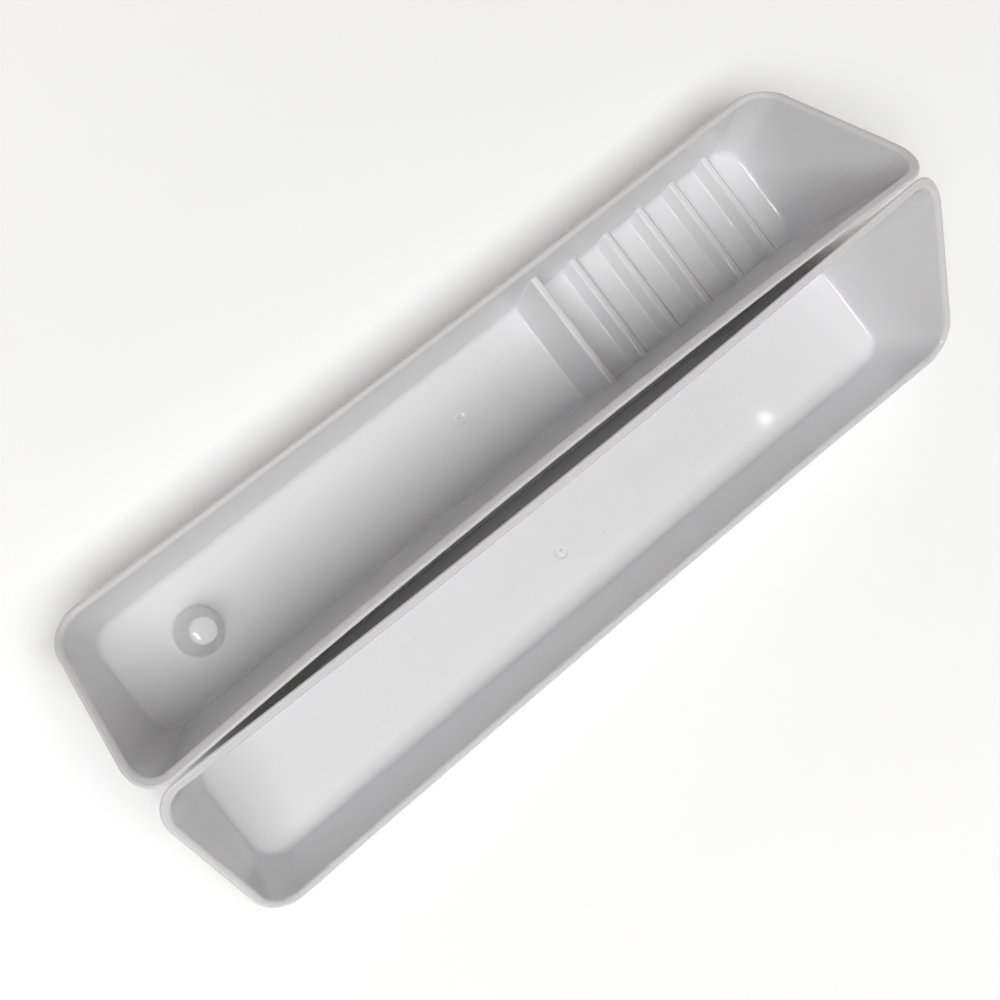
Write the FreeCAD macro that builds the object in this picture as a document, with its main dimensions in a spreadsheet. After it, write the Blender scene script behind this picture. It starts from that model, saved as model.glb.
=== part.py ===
import FreeCAD, Part
import math
import os

import Sketcher

# Two loose moulded trays lie back to back, each with its tall wall beside the other tray.
# X runs along the trays, Y across them and Z up from the surface that they stand on.
# The origin is the middle of the pair at that surface.
# Each tray is drawn on the +Y side. The plain one is then turned half round about Z.

# Driving sizes in millimetres, and drafts in degrees from vertical.
SIZES = {
    "floor_length": 242,
    "floor_width": 34.5,
    "floor_thickness": 2,
    "wall_thickness": 1.85,
    "tall_height": 64.5,
    "low_height": 26,
    "end_draft": 12.3,
    "front_draft": 14.8,
    "back_draft": 2.5,
    "back_bow": 2.05,
    "front_bow": 1.1,
    "corner_radius": 7.5,
    "floor_fillet": 2,
    "foot_round": 2.5,
    "lip_overhang": 0.65,
    "lip_depth": 3,
    "lip_round": 1.2,
    "lip_bevel": 0.9,
    "tray_gap": 0.3,
    "divider_height": 15,
    "divider_crest": 2.1,
    "divider_draft": 15,
    "divider_to_ridge": 16.7,
    "ridge_height": 4.2,
    "ridge_crest": 1.75,
    "ridge_draft": 30,
    "ridge_pitch": 13.35,
    "ridge_count": 5,
    "ridge_from_end": 11.6,
    "rib_bite": 0.6,
    "crest_round": 0.75,
    "root_fillet": 0.9,
    "boss_from_end": 25.1,
    "boss_height": 15,
    "boss_base": 14.2,
    "boss_top": 7.6,
    "boss_dome": 0.8,
    "boss_edge": 0.5,
    "gate_width": 4,
    "gate_depth": 0.25,
    "gate_nub": 1.2,
    "gate_nub_height": 0.45,
}

# How far a blank runs past what trims it.
OVERRUN = 5
# How far the foot of a rib or boss lies in the floor, and how far its root fillet starts in it.
FOOT_SINK = 0.8
ROOT_SINK = 0.03
TINY = 0.01
# The most of the lip's width, or of a crest's, that a round or a bevel may take.
LIP_ROUND_SHARE = 0.48
LIP_BEVEL_SHARE = 0.36
CREST_SHARE = 0.44


def size(name):
    """A sheet cell, as the expressions write it."""
    return f"Sizes.{name}"


def slope(name):
    """Sideways run for each millimetre of height on a face with this draft."""
    return f"tan({size(name)} * 1 deg)"


# Where the faces inside a tray lie, as expressions.
FLOOR_TOP = size("floor_thickness")
BLANK_TOP = f"({size('tall_height')} + {OVERRUN})"
BLANK_BOTTOM = f"(-{OVERRUN})"
LIP_WIDTH = f"({size('wall_thickness')} + {size('lip_overhang')})"
LIP_ROUND = f"min({size('lip_round')}; {LIP_WIDTH} * {LIP_ROUND_SHARE})"
LIP_BEVEL = f"min({size('lip_bevel')}; {LIP_WIDTH} * {LIP_BEVEL_SHARE})"
CREST_ROUND = f"min({size('crest_round')}; {size('ridge_crest')} * {CREST_SHARE})"
RIM_BACK = f"({size('tray_gap')} / 2)"
BACK_RUN = f"({slope('back_draft')} * ({size('tall_height')} - {FLOOR_TOP}))"
FLOOR_BACK = f"({RIM_BACK} + {LIP_WIDTH} + {BACK_RUN})"
FLOOR_FRONT = f"({FLOOR_BACK} + {size('floor_width')})"
FLOOR_MIDDLE = f"({FLOOR_BACK} + {size('floor_width')} / 2)"
FLOOR_END = f"({size('floor_length')} / 2)"


def end_face(height):
    return f"({FLOOR_END} + {slope('end_draft')} * ({height} - {FLOOR_TOP}))"


def back_face(height):
    return f"({FLOOR_BACK} - {slope('back_draft')} * ({height} - {FLOOR_TOP}))"


def front_face(height):
    return f"({FLOOR_FRONT} + {slope('front_draft')} * ({height} - {FLOOR_TOP}))"


# The rim lies in one plane, from the tall wall's lip down to the low wall's lip.
RIM_FRONT = f"({front_face(size('low_height'))} + {LIP_WIDTH})"
RIM_FALL = f"(({size('tall_height')} - {size('low_height')}) / ({RIM_FRONT} - {RIM_BACK}))"
RIM_MIDDLE = f"(({RIM_BACK} + {RIM_FRONT}) / 2)"

# The ribs are placed from the right-hand end of the floor.
LAST_RIDGE = f"({FLOOR_END} - {size('ridge_from_end')})"
FIRST_RIDGE = f"({LAST_RIDGE} - ({size('ridge_count')} - 1) * {size('ridge_pitch')})"
DIVIDER = f"({FIRST_RIDGE} - {size('divider_to_ridge')})"
RIB_START = f"({FLOOR_BACK} - {size('rib_bite')})"
RIB_FOOT = f"({FLOOR_TOP} - {FOOT_SINK})"
RIB_ROOT = f"({FLOOR_TOP} - {ROOT_SINK})"
DIVIDER_TOP = f"({FLOOR_TOP} + {size('divider_height')})"
RIDGE_TOP = f"({FLOOR_TOP} + {size('ridge_height')})"
RIB_REACH = f"({front_face(DIVIDER_TOP)} + {OVERRUN} - {RIB_START})"


def rim_height(across):
    return f"({size('tall_height')} - {RIM_FALL} * ({across} - {RIM_BACK}))"


def arc_radius(chord, rise):
    return f"((({chord}) ^ 2 / 4 + ({rise}) ^ 2) / abs(2 * ({rise})))"


def make_sheet(doc):
    sheet = doc.addObject("Spreadsheet::Sheet", "Sizes")
    for row, (name, number) in enumerate(SIZES.items(), start=1):
        sheet.set(f"A{row}", name)
        sheet.set(f"B{row}", str(number))
        sheet.setAlias(f"B{row}", name)
    doc.recompute()


def value(holder, expression):
    """Present value of an expression, which places geometry before it is constrained."""
    return float(holder.evalExpression(expression))


def make_sketch(body, name, plane, height=None):
    sketch = body.newObject("Sketcher::SketchObject", name)
    support = next(part for part in body.Origin.OriginFeatures if part.Role == plane)
    sketch.AttachmentSupport = [(support, "")]
    sketch.MapMode = "FlatFace"
    if height is not None:
        sketch.setExpression("AttachmentOffset.Base.z", height)
    return sketch


def edge_between(start, end, rise=0):
    """Straight edge, or an arc whose middle stands off the chord by rise along the sketch's Y."""
    first = FreeCAD.Vector(*start)
    last = FreeCAD.Vector(*end)
    if not rise:
        return Part.LineSegment(first, last)
    middle = (first + last) / 2 + FreeCAD.Vector(0, rise, 0)
    return Part.Arc(first, middle, last)


def quarter_turn(start, end):
    """Quarter circle from the end of a long edge to the end of a short one."""
    bend = math.sin(math.radians(45))
    middle_x = start[0] + (end[0] - start[0]) * bend
    middle_y = start[1] + (end[1] - start[1]) * (1 - bend)
    return Part.Arc(FreeCAD.Vector(*start), FreeCAD.Vector(middle_x, middle_y), FreeCAD.Vector(*end))


def end_at(sketch, edge, place):
    """Which end of a sketch edge lies at a place, 1 for its start and 2 for its end."""
    gaps = [(sketch.getPoint(edge, end) - FreeCAD.Vector(*place)).Length for end in (1, 2)]
    return 1 if gaps[0] < gaps[1] else 2


def join(sketch, kind, first, second, place):
    """Join two edges by a constraint at the ends that lie at a place."""
    ends = (end_at(sketch, first, place), end_at(sketch, second, place))
    sketch.addConstraint(Sketcher.Constraint(kind, first, ends[0], second, ends[1]))


def drive(sketch, name, expression, kind, *targets):
    """Add a constraint whose value follows an expression."""
    constraint = Sketcher.Constraint(kind, *targets, value(sketch, expression))
    index = sketch.addConstraint(constraint)
    sketch.renameConstraint(index, name)
    sketch.setExpression(f"Constraints.{name}", expression)


def drive_point(sketch, name, edge, place, expressions):
    """Tie the end of an edge that lies at a place to a pair of expressions."""
    end = end_at(sketch, edge, place)
    for axis, expression in zip("XY", expressions):
        drive(sketch, f"{name}_{axis.lower()}", expression, f"Distance{axis}", -1, 1, edge, end)


def add_polygon(body, name, plane, corners, height=None, bends=None):
    """Closed sketch whose corners are pairs of expressions, bent where bends gives a radius."""
    bends = bends or {}
    sketch = make_sketch(body, name, plane, height)
    places = [(value(sketch, x), value(sketch, y)) for x, y in corners]
    following = places[1:] + places[:1]
    for index, (start, end) in enumerate(zip(places, following)):
        rise = value(sketch, bends[index][0]) if index in bends else 0
        sketch.addGeometry(edge_between(start, end, rise), False)
    for index, place in enumerate(places):
        before = (index - 1) % len(places)
        join(sketch, "Coincident", before, index, place)
        drive_point(sketch, f"corner_{index}", index, place, corners[index])
    for index, (_, radius) in bends.items():
        drive(sketch, f"bend_{index}", radius, "Radius", index)
    return sketch


def add_outline(body, name, height, outset, bowed=False):
    """Plan of the tray at one height, a constant distance outside its inside faces."""
    reach = f"({size('corner_radius')} + {outset})"
    end = f"({end_face(height)} + {outset})"
    turn = f"({end} - {reach})"
    stops = {
        "back": f"({back_face(height)} - {outset})",
        "front": f"({front_face(height)} + {outset})",
    }
    bows = {
        "back": f"({size('back_bow')} * {height} / {size('tall_height')})",
        "front": f"(-{size('front_bow')} * {height} / {size('low_height')})",
    }
    signs = {"right": "", "left": "-"}
    sketch = make_sketch(body, name, "XY_Plane", height)
    end_ys = {
        "back": value(sketch, f"{stops['back']} + {reach}"),
        "front": value(sketch, f"{stops['front']} - {reach}"),
    }
    edges = {}
    for side, stop in stops.items():
        rise = value(sketch, bows[side]) if bowed else 0
        left, right = ((value(sketch, f"{sign}{turn}"), value(sketch, stop)) for sign in ("-", ""))
        edges[side] = sketch.addGeometry(edge_between(left, right, rise), False)
    for side, sign in signs.items():
        end_x = value(sketch, f"{sign}{end}")
        edge = edge_between((end_x, end_ys["back"]), (end_x, end_ys["front"]))
        edges[side] = sketch.addGeometry(edge, False)
        sketch.addConstraint(Sketcher.Constraint("Vertical", edges[side]))
        drive(sketch, f"{side}_end", f"{sign}{end}", "DistanceX", -1, 1, edges[side], 1)
        for long_side, stop in stops.items():
            long_end = (value(sketch, f"{sign}{turn}"), value(sketch, stop))
            short_end = (end_x, end_ys[long_side])
            corner = sketch.addGeometry(quarter_turn(long_end, short_end), False)
            join(sketch, "Tangent", edges[long_side], corner, long_end)
            join(sketch, "Tangent", corner, edges[side], short_end)
            turn_point = (f"{sign}{turn}", stop)
            drive_point(sketch, f"{long_side}_{side}", edges[long_side], long_end, turn_point)
    if bowed:
        for side, bow in bows.items():
            drive(sketch, f"{side}_bow", arc_radius(f"2 * {turn}", bow), "Radius", edges[side])
    return sketch


def add_circle(body, name, height, centre, width):
    sketch = make_sketch(body, name, "XY_Plane", height)
    middle = FreeCAD.Vector(*(value(sketch, place) for place in centre))
    circle = Part.Circle(middle, FreeCAD.Vector(0, 0, 1), value(sketch, width) / 2)
    edge = sketch.addGeometry(circle, False)
    drive(sketch, "width", width, "Diameter", edge)
    drive(sketch, "centre_x", centre[0], "DistanceX", -1, 1, edge, 3)
    drive(sketch, "centre_y", centre[1], "DistanceY", -1, 1, edge, 3)
    return sketch


def add_feature(body, kind, name, profile, **settings):
    """Feature on a sketch, with settings that are expressions where they are text lengths."""
    before = body.Shape.Volume if body.Tip else 0
    feature = body.newObject(f"PartDesign::{kind}", name)
    feature.Profile = profile
    for setting, content in settings.items():
        if setting in ("Length", "Angle"):
            feature.setExpression(setting, content)
        else:
            setattr(feature, setting, content)
    body.Document.recompute()
    grows = kind not in ("Pocket", "SubtractiveLoft")
    changed = feature.Shape.Volume - before
    if (changed > 0) != grows:
        raise RuntimeError(f"{name} left the volume {changed} larger")
    return feature


def dress_edges(body, kind, name, base, test, amount):
    """Fillet or chamfer the edges of a feature that pass a test."""
    edges = enumerate(base.Shape.Edges, start=1)
    dressing = body.newObject(f"PartDesign::{kind}", name)
    dressing.Base = (base, [f"Edge{index}" for index, edge in edges if test(edge)])
    dressing.setExpression("Radius" if kind == "Fillet" else "Size", amount)
    body.Document.recompute()
    return dressing


def add_fillet(body, name, base, test, radius):
    return dress_edges(body, "Fillet", name, base, test, radius)


def level_test(level):
    """Edges that lie flat at one height."""

    def test(edge):
        box = edge.BoundBox
        return abs(box.ZMin - level) < TINY and abs(box.ZMax - level) < TINY

    return test


def same_edge_test(edges):
    """Edges that are among the given ones."""

    def test(edge):
        return any(edge.isSame(other) for other in edges)

    return test


def cut_cavity(body, name):
    lower = add_outline(body, f"{name}_cavity_floor", FLOOR_TOP, "0")
    upper = add_outline(body, f"{name}_cavity_top", BLANK_TOP, "0", bowed=True)
    return add_feature(body, "SubtractiveLoft", f"{name}_cavity", lower, Sections=[upper], Ruled=True)


def cut_across(body, name, corners):
    """Cut a profile in Y and Z right along the tray."""
    profile = add_polygon(body, f"{name}_profile", "YZ_Plane", corners)
    length = f"2 * ({end_face(BLANK_TOP)} + {OVERRUN})"
    return add_feature(body, "Pocket", name, profile, SideType="Symmetric", Length=length)


def cut_above_rim(body, name, drop):
    """Cut away what lies above a plane set a distance under the rim."""
    near = f"(-{OVERRUN})"
    far = f"({front_face(BLANK_TOP)} + {OVERRUN})"
    near_cut = f"({rim_height(near)} - {drop})"
    far_cut = f"({rim_height(far)} - {drop})"
    limit = f"({near_cut} + {BLANK_TOP})"
    return cut_across(body, name, [(near, near_cut), (far, far_cut), (far, limit), (near, limit)])


def add_gate_mark(body, name):
    """Shallow ring with a nub, where the plastic came into the mould."""
    centre = ("0", RIM_MIDDLE)
    ring = add_circle(body, f"{name}_ring", FLOOR_TOP, centre, size("gate_width"))
    add_feature(body, "Pocket", f"{name}_recess", ring, Length=size("gate_depth"))
    bottom = f"({FLOOR_TOP} - {size('gate_depth')})"
    dot = add_circle(body, f"{name}_dot", bottom, centre, size("gate_nub"))
    return add_feature(body, "Pad", f"{name}_nub", dot, Length=size("gate_nub_height"))


def make_relief(doc, name):
    """What lies outside the walls and under the lip, which is cut from a block as wide as the lip."""
    body = doc.addObject("PartDesign::Body", name)
    wall = size("wall_thickness")
    end = f"({end_face(BLANK_TOP)} + {LIP_WIDTH} + {OVERRUN})"
    back = f"(-({LIP_WIDTH} + {OVERRUN}))"
    front = f"({front_face(BLANK_TOP)} + {LIP_WIDTH} + {OVERRUN})"
    corners = [(f"-{end}", back), (end, back), (end, front), (f"-{end}", front)]
    around = add_polygon(body, f"{name}_around", "XY_Plane", corners, BLANK_BOTTOM)
    add_feature(body, "Pad", f"{name}_blank", around, Length=f"{BLANK_TOP} - {BLANK_BOTTOM}")
    lower = add_outline(body, f"{name}_foot", BLANK_BOTTOM, wall)
    upper = add_outline(body, f"{name}_head", BLANK_TOP, wall, bowed=True)
    add_feature(body, "SubtractiveLoft", f"{name}_core", lower, Sections=[upper], Ruled=True)
    cut_above_rim(body, f"{name}_top", size("lip_depth"))
    return body


def find_rim(body, shape):
    """The flat face that all the rim's upper edges bound."""
    fall = value(body, RIM_FALL)
    rim_at_origin = value(body, rim_height("0"))

    def on_rim(face):
        points = [vertex.Point for vertex in face.Vertexes]
        return all(abs(point.z + fall * point.y - rim_at_origin) < TINY for point in points)

    return next(face for face in shape.Faces if on_rim(face))


def round_lip(body, name, base):
    """Round the lip's inner edge and bevel its outer one."""
    rim = find_rim(body, base.Shape)
    outer = rim.OuterWire.Edges
    inner = [edge for edge in rim.Edges if not same_edge_test(outer)(edge)]
    rounded = add_fillet(body, f"{name}_round", base, same_edge_test(inner), LIP_ROUND)
    outer = find_rim(body, rounded.Shape).OuterWire.Edges
    return dress_edges(body, "Chamfer", f"{name}_bevel", rounded, same_edge_test(outer), LIP_BEVEL)


def foot_half(kind):
    """Half the width of a divider or ridge at its foot in the floor."""
    rise = f"({size(f'{kind}_height')} + {FOOT_SINK})"
    return f"({size(f'{kind}_crest')} / 2 + {slope(f'{kind}_draft')} * {rise})"


def rib_profile(body, name, kind, centre):
    """Trapezoid of a divider or ridge seen along Y, from its foot in the floor to its crest."""
    top = f"({FLOOR_TOP} + {size(f'{kind}_height')})"
    crest_half = f"({size(f'{kind}_crest')} / 2)"
    corners = [
        (f"{centre} - {foot_half(kind)}", RIB_FOOT),
        (f"{centre} + {foot_half(kind)}", RIB_FOOT),
        (f"{centre} + {crest_half}", top),
        (f"{centre} - {crest_half}", top),
    ]
    return add_polygon(body, name, "XZ_Plane", corners, f"-{RIB_START}")


def strip_end(place, kind, sign):
    """Where the strip under the ribs ends, clear of the outermost root fillet."""
    return f"({place} {sign} {foot_half(kind)} {sign} 2 * {size('root_fillet')})"


def add_rib(body, name, profile):
    return add_feature(body, "Pad", name, profile, Reversed=True, Length=RIB_REACH)


def repeat_ridge(body, name, ridge, profile):
    """The row of ridges, from the last one back towards the divider."""
    row = body.newObject("PartDesign::LinearPattern", name)
    row.Originals = [ridge]
    row.Direction = (profile, ["H_Axis"])
    row.Reversed = True
    row.Mode = "Spacing"
    row.setExpression("Offset", size("ridge_pitch"))
    row.setExpression("Occurrences", size("ridge_count"))
    body.Tip = row
    body.Document.recompute()
    return row


def round_ribs(body, name, base, left, right):
    """Round the crests, and fillet the roots between the two ends of the strip."""
    crests = [value(body, DIVIDER_TOP), value(body, RIDGE_TOP)]

    def on_crest(edge):
        return any(level_test(crest)(edge) for crest in crests) and edge.BoundBox.XLength < TINY

    rounded = add_fillet(body, f"{name}_crests", base, on_crest, CREST_ROUND)
    root = value(body, RIB_ROOT)
    ends = (value(body, left) + TINY, value(body, right) - TINY)

    def on_root(edge):
        box = edge.BoundBox
        inside = ends[0] < box.XMin and box.XMax < ends[1]
        return level_test(root)(edge) and box.XLength < TINY and inside

    return add_fillet(body, f"{name}_roots", rounded, on_root, size("root_fillet"))


def trim_ribs(body, name):
    """Cut the ribs off inside the low wall, along its draft."""
    low = f"({RIB_FOOT} - {OVERRUN})"
    high = f"({DIVIDER_TOP} + {OVERRUN})"
    far = f"({front_face(high)} + 2 * {OVERRUN})"
    near_low = f"({front_face(low)} + {size('rib_bite')})"
    near_high = f"({front_face(high)} + {size('rib_bite')})"
    return cut_across(body, name, [(near_low, low), (far, low), (far, high), (near_high, high)])


def make_ribs(doc, name):
    """Divider and low ridges across the floor, each let into the walls at its ends."""
    body = doc.addObject("PartDesign::Body", name)
    left = strip_end(DIVIDER, "divider", "-")
    right = strip_end(LAST_RIDGE, "ridge", "+")
    corners = [(left, RIB_FOOT), (right, RIB_FOOT), (right, RIB_ROOT), (left, RIB_ROOT)]
    strip = add_polygon(body, f"{name}_strip_profile", "XZ_Plane", corners, f"-{RIB_START}")
    add_rib(body, f"{name}_strip", strip)
    add_rib(body, f"{name}_divider", rib_profile(body, f"{name}_divider_profile", "divider", DIVIDER))
    profile = rib_profile(body, f"{name}_ridge_profile", "ridge", LAST_RIDGE)
    ridge = add_rib(body, f"{name}_ridge", profile)
    row = repeat_ridge(body, f"{name}_row", ridge, profile)
    round_ribs(body, name, row, left, right)
    trim_ribs(body, f"{name}_ends")
    return body


def make_boss(doc, name):
    """Conical post with a domed top, near the end away from the ridges."""
    body = doc.addObject("PartDesign::Body", name)
    base = f"({size('boss_base')} / 2)"
    top = f"({size('boss_top')} / 2)"
    flange = f"({base} + 2 * {size('root_fillet')})"
    crest = f"({FLOOR_TOP} + {size('boss_height')})"
    corners = [
        ("0", RIB_FOOT),
        (flange, RIB_FOOT),
        (flange, RIB_ROOT),
        (base, RIB_ROOT),
        (top, crest),
        ("0", f"({crest} + {size('boss_dome')})"),
    ]
    dome_radius = arc_radius(f"2 * {top}", size("boss_dome"))
    bends = {4: (f"{size('boss_dome')} / 4", dome_radius)}
    profile = add_polygon(body, f"{name}_profile", "XZ_Plane", corners, bends=bends)
    axis = (profile, ["V_Axis"])
    turned = add_feature(body, "Revolution", f"{name}_turned", profile, ReferenceAxis=axis, Angle="360")
    edge_test = level_test(value(body, crest))
    rounded = add_fillet(body, f"{name}_edge", turned, edge_test, size("boss_edge"))
    base_radius = value(body, base)

    def on_root(edge):
        at_root = level_test(value(body, RIB_ROOT))(edge)
        return at_root and abs(edge.BoundBox.XMax - base_radius) < TINY

    add_fillet(body, f"{name}_root", rounded, on_root, size("root_fillet"))
    body.setExpression("Placement.Base.x", f"-({FLOOR_END} - {size('boss_from_end')})")
    body.setExpression("Placement.Base.y", FLOOR_MIDDLE)
    return body


def combine(body, name, kind, others):
    """Fuse other bodies into this one, or cut them from it."""
    combined = body.newObject("PartDesign::Boolean", name)
    combined.Type = kind
    combined.Group = others
    body.Document.recompute()
    return combined


def make_tray(doc, name, standing=()):
    """One moulding: floor, four drafted walls, what stands on the floor, and the lip."""
    body = doc.addObject("PartDesign::Body", name)
    body.Label = name
    lower = add_outline(body, f"{name}_foot", "0", LIP_WIDTH)
    upper = add_outline(body, f"{name}_blank", BLANK_TOP, LIP_WIDTH, bowed=True)
    add_feature(body, "AdditiveLoft", f"{name}_block", lower, Sections=[upper], Ruled=True)
    combine(body, f"{name}_outside", "Cut", [make_relief(doc, f"{name}_relief")])
    cavity = cut_cavity(body, name)
    floor_edges = level_test(value(body, FLOOR_TOP))
    add_fillet(body, f"{name}_floor_fillet", cavity, floor_edges, size("floor_fillet"))
    if standing:
        combine(body, f"{name}_standing", "Fuse", list(standing))
    cut_above_rim(body, f"{name}_top", "0")
    nub = add_gate_mark(body, f"{name}_gate")
    foot = add_fillet(body, f"{name}_foot_round", nub, level_test(0), size("foot_round"))
    round_lip(body, f"{name}_lip", foot)
    return body


def check_document(doc, trays):
    for item in doc.Objects:
        if "Invalid" in item.State or "Error" in item.State:
            raise RuntimeError(f"{item.Name} did not build: {item.getStatusString()}")
    for tray in trays:
        shape = tray.Shape
        if shape.isNull() or not shape.isValid() or len(shape.Solids) != 1:
            raise RuntimeError(f"{tray.Label} is not one valid solid")
        print(tray.Label, round(shape.Volume / 1000, 2), "cm3", len(shape.Faces), "faces")


def main():
    doc = FreeCAD.newDocument("counting_trays")
    make_sheet(doc)
    standing = [make_ribs(doc, "ribs"), make_boss(doc, "boss")]
    ridged = make_tray(doc, "ridged_tray", standing)
    plain = make_tray(doc, "plain_tray")
    half_turn = FreeCAD.Rotation(FreeCAD.Vector(0, 0, 1), 180)
    plain.Placement = FreeCAD.Placement(FreeCAD.Vector(0, 0, 0), half_turn)
    doc.recompute()
    trays = [ridged, plain]
    check_document(doc, trays)
    os.makedirs("parts", exist_ok=True)
    for tray in trays:
        tray.Shape.exportStep(f"parts/{tray.Label}.step")


main()
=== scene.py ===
import math

import bpy
from mathutils import Matrix, Vector

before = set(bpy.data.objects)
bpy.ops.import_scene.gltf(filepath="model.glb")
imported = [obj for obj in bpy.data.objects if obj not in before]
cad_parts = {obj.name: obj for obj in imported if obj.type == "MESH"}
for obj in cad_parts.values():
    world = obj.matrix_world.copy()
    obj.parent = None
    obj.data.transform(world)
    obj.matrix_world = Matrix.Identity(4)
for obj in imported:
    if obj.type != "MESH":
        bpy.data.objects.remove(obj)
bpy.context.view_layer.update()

# Everything is in metres. X runs along the trays, the plain tray lies at -Y and the ridged one at +Y.

# The photograph was taken by hand from above the post, with the frame turned on the lens axis.
CAMERA_PLACE = (-0.1314, 0.0360, 0.4924)
CAMERA_LEAN = (-4.42, -14.39, 0.78)
CAMERA_ROLL = 38.6
CAMERA_LENS = 63
SENSOR_WIDTH = 36

# Studio light: a wide soft panel overhead, on the plain tray's side, a small round lamp that glints in the
# plain tray's floor, and a tube that only glints, along the ribs' roots and on the post.
PANEL = {"place": (-0.45, -0.31, 1.5), "size": (1.5, 0.78), "power": 22}
LAMPS = {
    "lamp_over_plain_tray": {
        "place": (0.907, -0.307, 1.962),
        "size": (0.014, 0.014),
        "glow": 24,
        "glints_only": False,
    },
    "tube_beyond_post": {"place": (-0.75, -0.07, 1.5), "size": (0.80, 0.13), "glow": 60, "glints_only": True},
}
SKY_LEVEL = {"overhead": 0.06, "horizon": 0.15}
SKY_TINT = (1.0, 0.89, 0.84)
FLOOR_DROP = 0.0003
FLOOR_WIDTH = 6.0
FLOOR_GREY = 0.94
FLOOR_LIFT = {"near": 0.20, "far": 0.90}
FLOOR_LIFT_REACH = (0.12, 1.8)
# The lift fades in over this band, so the floor in the gap between and under the trays stays dark: painted
# shade.
FLOOR_SHADE_BAND = {"X": (0.120, 0.135), "Y": (0.040, 0.049)}

MILLIMETRE = 0.001

# The plastic: what part of each effect's range shows, and how strongly it colours the surface.
PLASTIC_IOR = 1.5
EDGE_RADIUS = 0.8 * MILLIMETRE
EDGE_SAMPLES = 6
EDGE_BAND = (0.995, 0.86)
SMEAR_BAND = (0.42, 0.72)
SCRATCH_BAND = (0.66, 0.74)
SPECK_BAND = (0.80, 0.86)
DRIFT_SCALE = 9.0
DRIFT_BAND = (0.35, 0.65)
SCRATCH_STRETCH = (0.035, 1.0, 1.0)
SCRATCH_TURN = 7
# The edge weight sets how strongly the painted highlight along the edges shows.
COLOUR_WEIGHT = {"smear": 0.35, "speck": 0.5, "edge": 0.9}

# The table top.
TABLE_ROUGHNESS = 0.8
TABLE_SHEEN = 0.1
CLOUD_SCALE = 3.0
CLOUD_BAND = (0.3, 0.7)
CLOUD_SHIFT = 0.012

# Height of the sky, as a share of straight up, over which it fades to its overhead level.
SKY_FADE = (0.0, 0.7)


def new_group(name, inputs, outputs):
    """Empty node group with float inputs, given as defaults, and named outputs of given types."""
    group = bpy.data.node_groups.new(name, "ShaderNodeTree")
    for label, default in inputs.items():
        socket = group.interface.new_socket(name=label, in_out="INPUT", socket_type="NodeSocketFloat")
        socket.default_value = default
    for label, kind in outputs.items():
        group.interface.new_socket(name=label, in_out="OUTPUT", socket_type=kind)
    entry = group.nodes.new("NodeGroupInput")
    leave = group.nodes.new("NodeGroupOutput")
    return group, entry, leave


def add_node(tree, kind, **settings):
    node = tree.nodes.new(kind)
    for name, content in settings.items():
        setattr(node, name, content)
    return node


def math_node(tree, operation, first, second, clamp=False):
    """Math on two sockets or numbers."""
    node = add_node(tree, "ShaderNodeMath", operation=operation, use_clamp=clamp)
    for slot, content in enumerate((first, second)):
        if isinstance(content, (int, float)):
            node.inputs[slot].default_value = content
        else:
            tree.links.new(content, node.inputs[slot])
    return node.outputs[0]


def noise(tree, scale, detail=2.0, roughness=0.5):
    """Noise fixed to the object, with its scale in waves per metre, a number or a socket."""
    place = add_node(tree, "ShaderNodeTexCoord")
    node = add_node(tree, "ShaderNodeTexNoise")
    node.inputs["Detail"].default_value = detail
    node.inputs["Roughness"].default_value = roughness
    tree.links.new(place.outputs["Object"], node.inputs["Vector"])
    if isinstance(scale, (int, float)):
        node.inputs["Scale"].default_value = scale
    else:
        tree.links.new(scale, node.inputs["Scale"])
    return node.outputs["Fac"]


def spread(tree, content, low, high, to_low=0.0, to_high=1.0):
    """Map a range of values onto another, clamped."""
    node = add_node(tree, "ShaderNodeMapRange")
    tree.links.new(content, node.inputs["Value"])
    for name, number in (("From Min", low), ("From Max", high), ("To Min", to_low), ("To Max", to_high)):
        node.inputs[name].default_value = number
    return node.outputs["Result"]


def edge_group():
    """Softened edges: a rounded normal, and a mask that is bright along outer edges, where a highlight is
    painted.
    """
    group, entry, leave = new_group(
        "softened_edges",
        {"Radius": 0.5 * MILLIMETRE},
        {"Normal": "NodeSocketVector", "Edge": "NodeSocketFloat"},
    )
    bevel = add_node(group, "ShaderNodeBevel", samples=EDGE_SAMPLES)
    group.links.new(entry.outputs["Radius"], bevel.inputs["Radius"])
    plain = add_node(group, "ShaderNodeNewGeometry")
    turned = add_node(group, "ShaderNodeVectorMath", operation="DOT_PRODUCT")
    group.links.new(bevel.outputs["Normal"], turned.inputs[0])
    group.links.new(plain.outputs["Normal"], turned.inputs[1])
    edge = spread(group, turned.outputs["Value"], *EDGE_BAND)
    group.links.new(bevel.outputs["Normal"], leave.inputs["Normal"])
    group.links.new(edge, leave.inputs["Edge"])
    return group


def mould_group():
    """Relief of a moulded surface: long shallow sinks and a fine skin, in metres of height."""
    inputs = {
        "Sink scale": 22.0,
        "Sink depth": 0.03 * MILLIMETRE,
        "Skin scale": 900.0,
        "Skin depth": 0.0006 * MILLIMETRE,
    }
    group, entry, leave = new_group("moulded_relief", inputs, {"Height": "NodeSocketFloat"})
    sinks = noise(group, entry.outputs["Sink scale"], detail=1.0)
    skin = noise(group, entry.outputs["Skin scale"], detail=3.0)
    sink_height = math_node(group, "MULTIPLY", sinks, entry.outputs["Sink depth"])
    skin_height = math_node(group, "MULTIPLY", skin, entry.outputs["Skin depth"])
    group.links.new(math_node(group, "ADD", sink_height, skin_height), leave.inputs["Height"])
    return group


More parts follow.
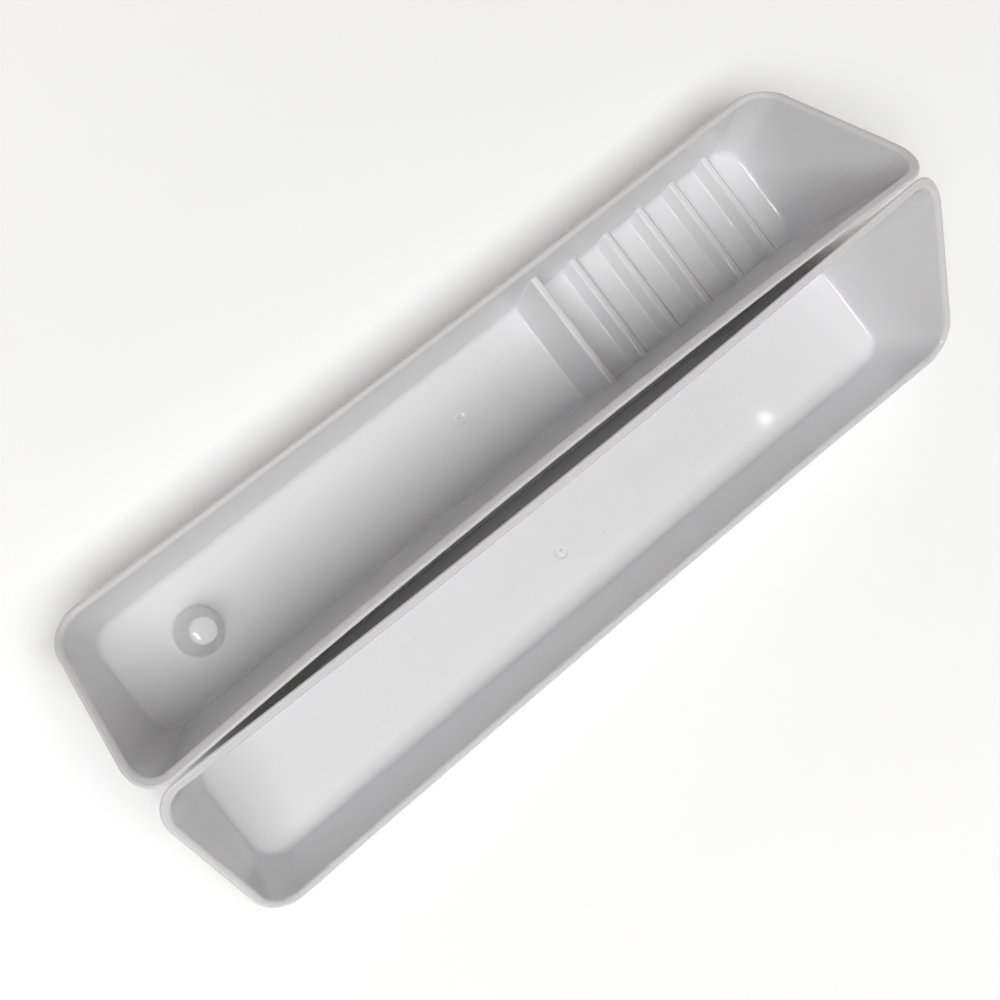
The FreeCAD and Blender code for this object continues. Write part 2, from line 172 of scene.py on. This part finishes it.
def handling_group():
    """Marks of use: cloudy smears, hair scratches along the tray, and specks, each from 0 to 1."""
    inputs = {"Smear scale": 38.0, "Scratch scale": 700.0, "Speck scale": 1300.0}
    outputs = {"Smear": "NodeSocketFloat", "Scratch": "NodeSocketFloat", "Speck": "NodeSocketFloat"}
    group, entry, leave = new_group("handling_marks", inputs, outputs)
    clouds = noise(group, entry.outputs["Smear scale"], detail=4.0, roughness=0.6)
    smear = spread(group, clouds, *SMEAR_BAND)
    group.links.new(smear, leave.inputs["Smear"])

    place = add_node(group, "ShaderNodeTexCoord")
    stretch = add_node(group, "ShaderNodeMapping")
    stretch.inputs["Scale"].default_value = SCRATCH_STRETCH
    stretch.inputs["Rotation"].default_value = (0.0, 0.0, math.radians(SCRATCH_TURN))
    lines = add_node(group, "ShaderNodeTexNoise")
    lines.inputs["Detail"].default_value = 2.0
    group.links.new(place.outputs["Object"], stretch.inputs["Vector"])
    group.links.new(stretch.outputs["Vector"], lines.inputs["Vector"])
    group.links.new(entry.outputs["Scratch scale"], lines.inputs["Scale"])
    scratch = spread(group, lines.outputs["Fac"], *SCRATCH_BAND)
    group.links.new(scratch, leave.inputs["Scratch"])

    specks = spread(group, noise(group, entry.outputs["Speck scale"], detail=0.0), *SPECK_BAND)
    group.links.new(specks, leave.inputs["Speck"])
    return group


def mix_colour(tree, mask, first, second):
    """Blend two colours, each a socket or a tuple, by a mask."""
    node = add_node(tree, "ShaderNodeMix", data_type="RGBA")
    tree.links.new(mask, node.inputs["Factor"])
    for slot, content in (("A", first), ("B", second)):
        socket = next(s for s in node.inputs if s.name == slot and s.type == "RGBA")
        if isinstance(content, tuple):
            socket.default_value = (*content, 1.0)
        else:
            tree.links.new(content, socket)
    return next(s for s in node.outputs if s.type == "RGBA")


def place_group(tree, group, **numbers):
    """Put a shared group in a material, with this material's own numbers."""
    node = add_node(tree, "ShaderNodeGroup", node_tree=group)
    for name, number in numbers.items():
        node.inputs[name.replace("_", " ")].default_value = number
    return node


def white_plastic(name, groups, colours, roughness, relief, marks):
    """Glossy white moulded plastic, with its sinks, smears, scratches and a painted highlight along its
    edges.
    """
    material = bpy.data.materials.new(name)
    material.use_nodes = True
    tree = material.node_tree
    shader = tree.nodes["Principled BSDF"]
    shader.inputs["IOR"].default_value = PLASTIC_IOR
    shader.inputs["Subsurface Weight"].default_value = 0.0

    edges = place_group(tree, groups["edges"], Radius=EDGE_RADIUS)
    surface = place_group(tree, groups["mould"], **relief)
    used = place_group(tree, groups["handling"], **marks)

    drift = spread(tree, noise(tree, DRIFT_SCALE, detail=2.0), *DRIFT_BAND)
    body = mix_colour(tree, drift, colours["body"], colours["drift"])
    # The lighter colour along the edges is a painted highlight; smears and specks are marks of use.
    masks = {"smear": used.outputs["Smear"], "speck": used.outputs["Speck"], "edge": edges.outputs["Edge"]}
    for effect, mask in masks.items():
        weight = math_node(tree, "MULTIPLY", mask, COLOUR_WEIGHT[effect])
        body = mix_colour(tree, weight, body, colours[effect])
    tree.links.new(body, shader.inputs["Base Color"])

    smear_rough = math_node(tree, "MULTIPLY", used.outputs["Smear"], roughness["smear"])
    scratch_rough = math_node(tree, "MULTIPLY", used.outputs["Scratch"], roughness["scratch"])
    edge_rough = math_node(tree, "MULTIPLY", edges.outputs["Edge"], roughness["edge"])
    rough = math_node(tree, "ADD", math_node(tree, "ADD", smear_rough, scratch_rough), edge_rough)
    tree.links.new(math_node(tree, "ADD", rough, roughness["plain"]), shader.inputs["Roughness"])

    bump = add_node(tree, "ShaderNodeBump")
    bump.inputs["Strength"].default_value = 1.0
    bump.inputs["Distance"].default_value = 1.0
    tree.links.new(surface.outputs["Height"], bump.inputs["Height"])
    tree.links.new(edges.outputs["Normal"], bump.inputs["Normal"])
    tree.links.new(bump.outputs["Normal"], shader.inputs["Normal"])
    return material


def finish_trays():
    """Give each tray its own plastic, built on the same three effects."""
    groups = {"edges": edge_group(), "mould": mould_group(), "handling": handling_group()}
    # The lighter edge colour is a painted highlight along the edges.
    shades = {
        "body": (0.80, 0.80, 0.81),
        "drift": (0.815, 0.813, 0.822),
        "smear": (0.775, 0.773, 0.78),
        "speck": (0.66, 0.645, 0.63),
        "edge": (0.94, 0.94, 0.94),
    }
    gloss = {"plain": 0.045, "smear": 0.025, "scratch": 0.06, "edge": 0.0}
    trays = {
        "ridged_tray": {"relief": {"Sink_scale": 20.0}, "marks": {"Smear_scale": 34.0}},
        "plain_tray": {"relief": {"Sink_scale": 25.0}, "marks": {"Smear_scale": 42.0}},
    }
    for name, own in trays.items():
        plastic = white_plastic(f"{name}_plastic", groups, shades, gloss, own["relief"], own["marks"])
        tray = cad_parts[name]
        tray.data.materials.clear()
        tray.data.materials.append(plastic)


def floor_glow(tree):
    """How far the floor is lifted to white: none under the trays, which paints shade there, and more towards
    the horizon.
    """
    place = add_node(tree, "ShaderNodeTexCoord")
    distance = add_node(tree, "ShaderNodeVectorMath", operation="LENGTH")
    tree.links.new(place.outputs["Object"], distance.inputs[0])
    level = spread(tree, distance.outputs["Value"], *FLOOR_LIFT_REACH, FLOOR_LIFT["near"], FLOOR_LIFT["far"])
    return math_node(tree, "MULTIPLY", level, outside_painted_shade(tree))


def lift_to_white(tree, shader, level):
    """Add a white glow that only the camera, reflections and clear things see."""
    path = add_node(tree, "ShaderNodeLightPath")
    seen = math_node(tree, "MAXIMUM", path.outputs["Is Camera Ray"], path.outputs["Is Glossy Ray"])
    seen = math_node(tree, "MAXIMUM", seen, path.outputs["Is Transmission Ray"])
    glow = add_node(tree, "ShaderNodeEmission")
    glow.inputs["Color"].default_value = (1.0, 1.0, 1.0, 1.0)
    tree.links.new(math_node(tree, "MULTIPLY", seen, level), glow.inputs["Strength"])
    both = add_node(tree, "ShaderNodeAddShader")
    tree.links.new(shader.outputs[0], both.inputs[0])
    tree.links.new(glow.outputs[0], both.inputs[1])
    return both


def outside_painted_shade(tree):
    """0 on the floor under the trays, rising to 1 beyond them; the unlifted floor under them is painted
    shade.
    """
    place = add_node(tree, "ShaderNodeTexCoord")
    parts = add_node(tree, "ShaderNodeSeparateXYZ")
    tree.links.new(place.outputs["Object"], parts.inputs[0])
    reach = []
    for axis, band in FLOOR_SHADE_BAND.items():
        reach.append(spread(tree, math_node(tree, "ABSOLUTE", parts.outputs[axis], 0.0), *band))
    return math_node(tree, "MAXIMUM", *reach)


def floor_material():
    """Pale table top, lifted towards white in the picture, that still takes shadows."""
    material = bpy.data.materials.new("pale_table")
    material.use_nodes = True
    tree = material.node_tree
    shader = tree.nodes["Principled BSDF"]
    shader.inputs["Roughness"].default_value = TABLE_ROUGHNESS
    shader.inputs["Specular IOR Level"].default_value = TABLE_SHEEN
    cloud = spread(tree, noise(tree, CLOUD_SCALE, detail=3.0), *CLOUD_BAND)
    shades = tuple((FLOOR_GREY + shift,) * 3 for shift in (0.0, CLOUD_SHIFT))
    tree.links.new(mix_colour(tree, cloud, *shades), shader.inputs["Base Color"])
    both = lift_to_white(tree, shader, floor_glow(tree))
    tree.links.new(both.outputs[0], tree.nodes["Material Output"].inputs["Surface"])
    return material


def build_floor():
    half = FLOOR_WIDTH / 2
    corners = [(-half, -half), (half, -half), (half, half), (-half, half)]
    mesh = bpy.data.meshes.new("table_top")
    mesh.from_pydata([(x, y, -FLOOR_DROP) for x, y in corners], [], [(0, 1, 2, 3)])
    floor = bpy.data.objects.new("table_top", mesh)
    bpy.context.scene.collection.objects.link(floor)
    mesh.materials.append(floor_material())


def build_sky():
    """Dim, slightly warm light from all round, brighter near the horizon, that the camera sees as white."""
    world = bpy.data.worlds.new("studio")
    bpy.context.scene.world = world
    world.use_nodes = True
    tree = world.node_tree
    back = tree.nodes["Background"]
    path = add_node(tree, "ShaderNodeLightPath")
    seen = math_node(tree, "MAXIMUM", path.outputs["Is Camera Ray"], path.outputs["Is Transmission Ray"])
    tree.links.new(mix_colour(tree, seen, SKY_TINT, (1.0, 1.0, 1.0)), back.inputs["Color"])
    place = add_node(tree, "ShaderNodeTexCoord")
    height = add_node(tree, "ShaderNodeSeparateXYZ")
    tree.links.new(place.outputs["Generated"], height.inputs[0])
    level = spread(tree, height.outputs["Z"], *SKY_FADE, SKY_LEVEL["horizon"], SKY_LEVEL["overhead"])
    tree.links.new(math_node(tree, "MAXIMUM", level, seen), back.inputs["Strength"])


def aim(thing, place, target):
    thing.location = place
    direction = Vector(target) - Vector(place)
    thing.rotation_euler = direction.to_track_quat("-Z", "Y").to_euler()


def build_panel():
    light = bpy.data.lights.new("soft_panel", "AREA")
    light.shape = "RECTANGLE"
    light.size, light.size_y = PANEL["size"]
    light.energy = PANEL["power"]
    panel = bpy.data.objects.new("soft_panel", light)
    bpy.context.scene.collection.objects.link(panel)
    panel.location = PANEL["place"]
    panel.visible_glossy = False


def build_lamps():
    """Small oval lamps whose power follows from how bright they look."""
    for name, lamp in LAMPS.items():
        light = bpy.data.lights.new(name, "AREA")
        light.shape = "ELLIPSE"
        light.size, light.size_y = lamp["size"]
        area = math.pi * light.size * light.size_y / 4
        light.energy = lamp["glow"] * math.pi * area
        holder = bpy.data.objects.new(name, light)
        bpy.context.scene.collection.objects.link(holder)
        aim(holder, lamp["place"], (0.0, 0.0, 0.0))
        holder.visible_diffuse = not lamp["glints_only"]


def build_camera():
    turns = [Matrix.Rotation(math.radians(angle), 4, axis) for angle, axis in zip(CAMERA_LEAN, "XYZ")]
    roll = Matrix.Rotation(-math.radians(CAMERA_ROLL), 4, "Z")
    camera = bpy.data.cameras.new("overhead")
    camera.lens = CAMERA_LENS
    camera.sensor_width = SENSOR_WIDTH
    camera.clip_start = 0.01
    camera.clip_end = 50.0
    holder = bpy.data.objects.new("overhead", camera)
    bpy.context.scene.collection.objects.link(holder)
    holder.matrix_world = Matrix.Translation(CAMERA_PLACE) @ turns[2] @ turns[1] @ turns[0] @ roll
    bpy.context.scene.camera = holder


bpy.context.scene.view_settings.view_transform = "Standard"
finish_trays()
build_floor()
build_sky()
build_panel()
build_lamps()
build_camera()
